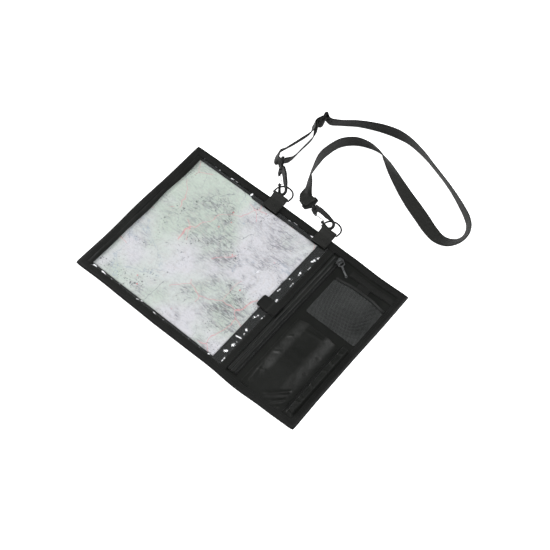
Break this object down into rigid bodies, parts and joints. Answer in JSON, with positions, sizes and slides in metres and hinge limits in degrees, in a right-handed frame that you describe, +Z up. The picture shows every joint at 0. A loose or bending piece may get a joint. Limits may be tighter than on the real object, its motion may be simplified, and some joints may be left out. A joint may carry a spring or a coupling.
{
  "type": "map case",
  "caption": "Open nylon map case with a clear map window, a zip compartment, pockets and a webbing neck strap on snap hooks.",
  "frame": {"origin": "on the underside, at the middle of the open case", "axes": "+X runs along the case to its pockets, +Y towards its D-rings, +Z up from the table; the longest way is +Y"},
  "size_m": [0.4101, 0.4802, 0.0305],
  "materials": {
    "nylon": "plain coated nylon",
    "grosgrain": "ribbed binding tape",
    "net": "knitted net",
    "webbing": "woven webbing",
    "paper": null,
    "film": "clear vinyl film",
    "plastic": "moulded plastic",
    "coil": "moulded zip coil",
    "steel": "spring wire",
    "pull_metal": "plated"
  },
  "bodies": {
    "case": {"back_panel": "nylon", "edge_binding": "grosgrain", "end_band": "nylon", "map_sheet": "paper", "window_film": "film", "window_hem": "grosgrain", "closure_tab": "webbing", "fold_strip": "nylon", "zip_tape": "nylon", "zip_coil": "coil", "zip_slider": "pull_metal", "organiser_panel": "nylon", "card_pocket": "nylon", "pen_pocket": "nylon", "mesh_pocket": "net", "mesh_hem": "grosgrain", "top_strip": "webbing", "key_tab": "webbing", "web_tab_left": "webbing", "d_ring_left": "plastic", "web_tab_right": "webbing", "d_ring_right": "plastic", "hook_body_left": "plastic", "hook_head_left": "plastic", "hook_body_right": "plastic", "hook_head_right": "plastic", "strap_slider": "plastic", "strap": "webbing"},
    "gate_left": {"hook_gate_left": "steel"},
    "gate_right": {"hook_gate_right": "steel"},
    "zip_pull": {"zip_pull": "pull_metal"}
  },
  "joints": [
    {"name": "gate_left_hinge", "type": "hinge", "parent": "case", "child": "gate_left", "pos_m": [-0.07156, 0.17002, 0.00719], "axis": [-0.4068, -0.5091, 0.7585], "range_deg": [0, 13], "stiffness_Nm_per_rad": 0.01, "springref_deg": -17.19},
    {"name": "gate_right_hinge", "type": "hinge", "parent": "case", "child": "gate_right", "pos_m": [0.0123, 0.15329, 0.00313], "axis": [-0.1531, -0.4618, 0.8737], "range_deg": [0, 13], "stiffness_Nm_per_rad": 0.01, "springref_deg": -17.19},
    {"name": "zip_pull_hinge", "type": "hinge", "parent": "case", "child": "zip_pull", "pos_m": [0.089, 0.1134, 0.0073], "axis": [-0.515, -0.8572, 0], "range_deg": [0, 165]}
  ]
}
